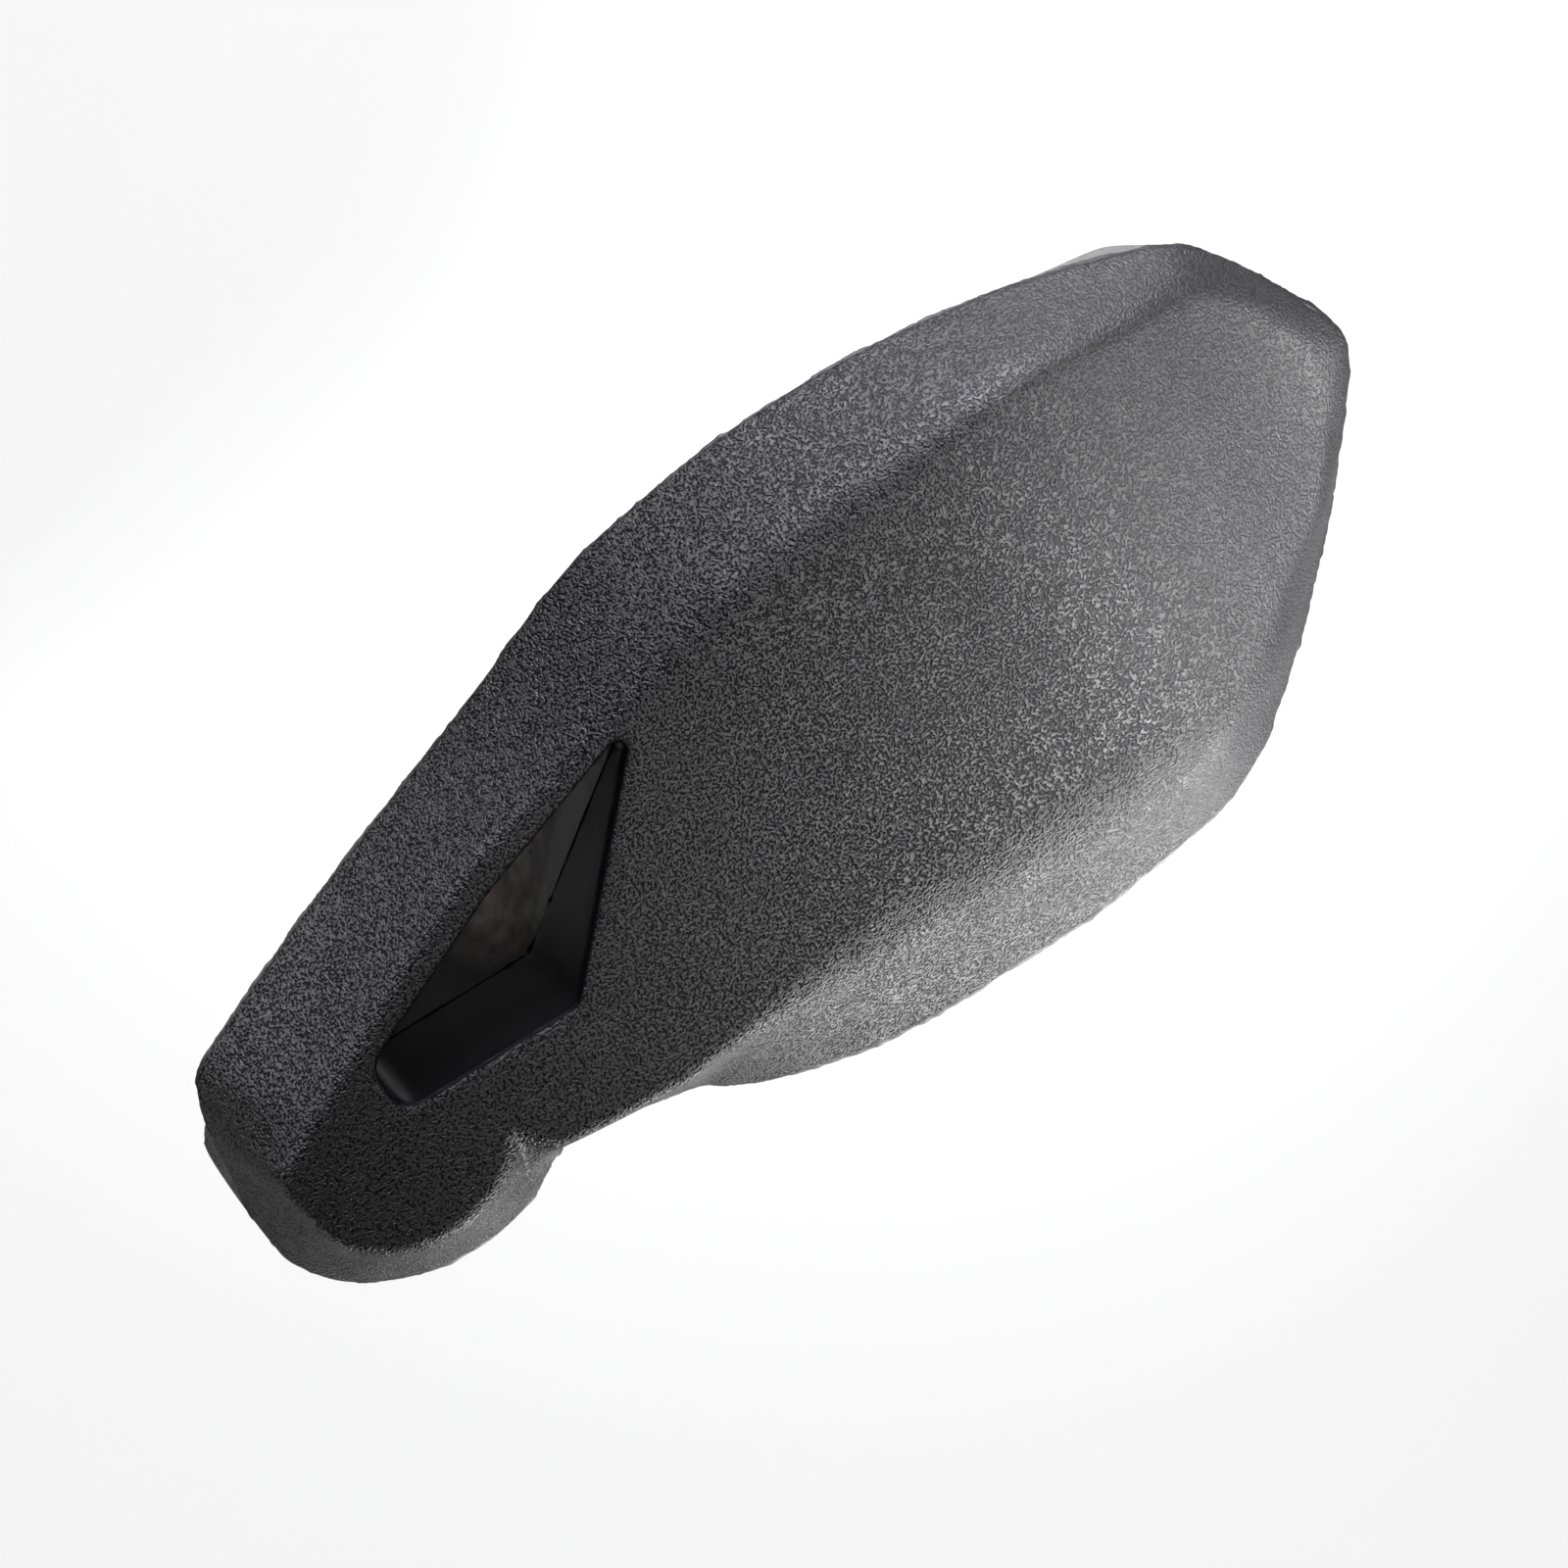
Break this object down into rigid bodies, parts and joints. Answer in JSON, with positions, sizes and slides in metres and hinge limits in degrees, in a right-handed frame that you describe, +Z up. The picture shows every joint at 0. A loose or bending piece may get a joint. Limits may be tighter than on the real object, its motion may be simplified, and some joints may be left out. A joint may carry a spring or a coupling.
{
  "type": "chair armrest pad",
  "caption": "Leaf-shaped moulded armrest pad with a triangular opening, on a friction swivel with a bolt-down round base.",
  "frame": {"origin": "centre of the base plate's mounting face, on the swivel axis", "axes": "+Z up along the swivel axis, +X from the nose to the far end of the pad, +Y towards its steep-walled side"},
  "size_m": [0.2331, 0.1158, 0.046],
  "materials": {
    "moulded_skin": "black self-skinned polyurethane with a fine leather grain, satin and bare in the opening",
    "core_steel": "phosphated steel",
    "hub_steel": "zinc plated",
    "screw_steel": "black oxide",
    "base_paint": "satin black powder coat",
    "bearing_plastic": "natural acetal",
    "friction_fibre": "pressed fibre"
  },
  "bodies": {
    "root": {"base_plate": "base_paint", "pivot_bush": "bearing_plastic", "friction_disc": "friction_fibre", "disc_spring": "hub_steel", "thrust_washer": "hub_steel", "stop_pin": "hub_steel"},
    "pad": {"pad_body": "moulded_skin", "core_plate": "core_steel", "stiffener_outer": "core_steel", "stiffener_inner": "core_steel", "hub_boss": "core_steel", "swivel_plate": "hub_steel", "hub_rivets": "hub_steel", "pivot_screw": "screw_steel"}
  },
  "joints": [
    {"name": "pad_swivel", "type": "hinge", "parent": "root", "child": "pad", "pos_m": [0, 0, 0], "axis": [0, 0, 1], "range_deg": [-30, 30]}
  ]
}
